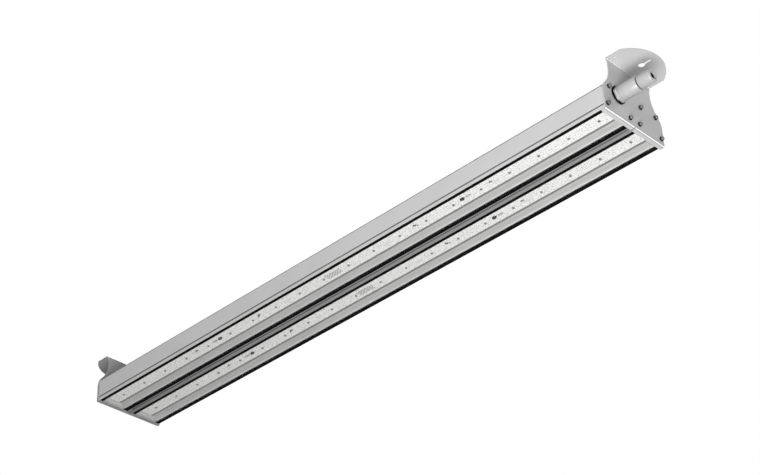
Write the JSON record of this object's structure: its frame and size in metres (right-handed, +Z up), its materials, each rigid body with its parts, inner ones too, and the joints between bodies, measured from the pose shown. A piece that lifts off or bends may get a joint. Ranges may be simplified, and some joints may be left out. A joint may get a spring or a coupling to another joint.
{
  "type": "industrial light fixture",
  "caption": "Linear light fixture with paired extruded modules under clear panes, folded end plates with mounting flanges and a cable gland.",
  "frame": {"origin": "centre of the bounding box's base, on the plane of the end plates' lower tabs", "axes": "+X along the fixture towards the cable gland, +Y across it towards the rear module, +Z up towards the mounting flanges"},
  "size_m": [1.5624, 0.169, 0.1248],
  "materials": {
    "anodised_extrusion": "satin anodised",
    "black_rubber": "matte",
    "board_mask": "white solder mask",
    "bright_screw": "dark zinc",
    "clear_glass": "clear, polished",
    "connector_white": "moulded",
    "driver_case": "plain white case",
    "gland_rubber": "grey elastomer",
    "lead_sheath": "grey sheath",
    "led_package": "clear resin over pale phosphor",
    "nickel_plate": "satin nickel",
    "plate_screw": "stainless",
    "plate_steel": "fine brushed",
    "silicone_sheet": "pale silicone",
    "terminal_plastic": "moulded",
    "tray_sheet": "mill finish"
  },
  "bodies": {
    "root": {"blank_end_plate": "plate_steel", "blank_plate_screws": "plate_screw", "blank_plate_washers": "black_rubber", "bridge_tube": "terminal_plastic", "feed_end_plate": "plate_steel", "feed_plate_screws": "plate_screw", "feed_plate_washers": "black_rubber", "front_blank_end_gasket": "silicone_sheet", "front_board_lead": "lead_sheath", "front_board_links": "connector_white", "front_board_screws": "bright_screw", "front_cover_glass": "clear_glass", "front_driver": "driver_case", "front_driver_screws": "bright_screw", "front_driver_tray": "tray_sheet", "front_feed_end_gasket": "silicone_sheet", "front_housing": "anodised_extrusion", "front_led_board_1": "board_mask", "front_led_board_2": "board_mask", "front_led_board_3": "board_mask", "front_led_board_4": "board_mask", "front_led_board_5": "board_mask", "front_led_chips": "led_package", "front_left_glass_seal": "black_rubber", "front_mains_lead": "lead_sheath", "front_right_glass_seal": "black_rubber", "front_web_grommet": "black_rubber", "gland_body": "nickel_plate", "gland_cap_nut": "nickel_plate", "gland_insert": "gland_rubber", "gland_lock_nut": "nickel_plate", "gland_sealing_ring": "black_rubber", "rear_blank_end_gasket": "silicone_sheet", "rear_board_lead": "lead_sheath", "rear_board_links": "connector_white", "rear_board_screws": "bright_screw", "rear_cover_glass": "clear_glass", "rear_driver": "driver_case", "rear_driver_screws": "bright_screw", "rear_driver_tray": "tray_sheet", "rear_feed_end_gasket": "silicone_sheet", "rear_housing": "anodised_extrusion", "rear_led_board_1": "board_mask", "rear_led_board_2": "board_mask", "rear_led_board_3": "board_mask", "rear_led_board_4": "board_mask", "rear_led_board_5": "board_mask", "rear_led_chips": "led_package", "rear_left_glass_seal": "black_rubber", "rear_mains_lead": "lead_sheath", "rear_right_glass_seal": "black_rubber", "rear_web_grommet": "black_rubber", "terminal_block": "terminal_plastic"}
  },
  "joints": []
}
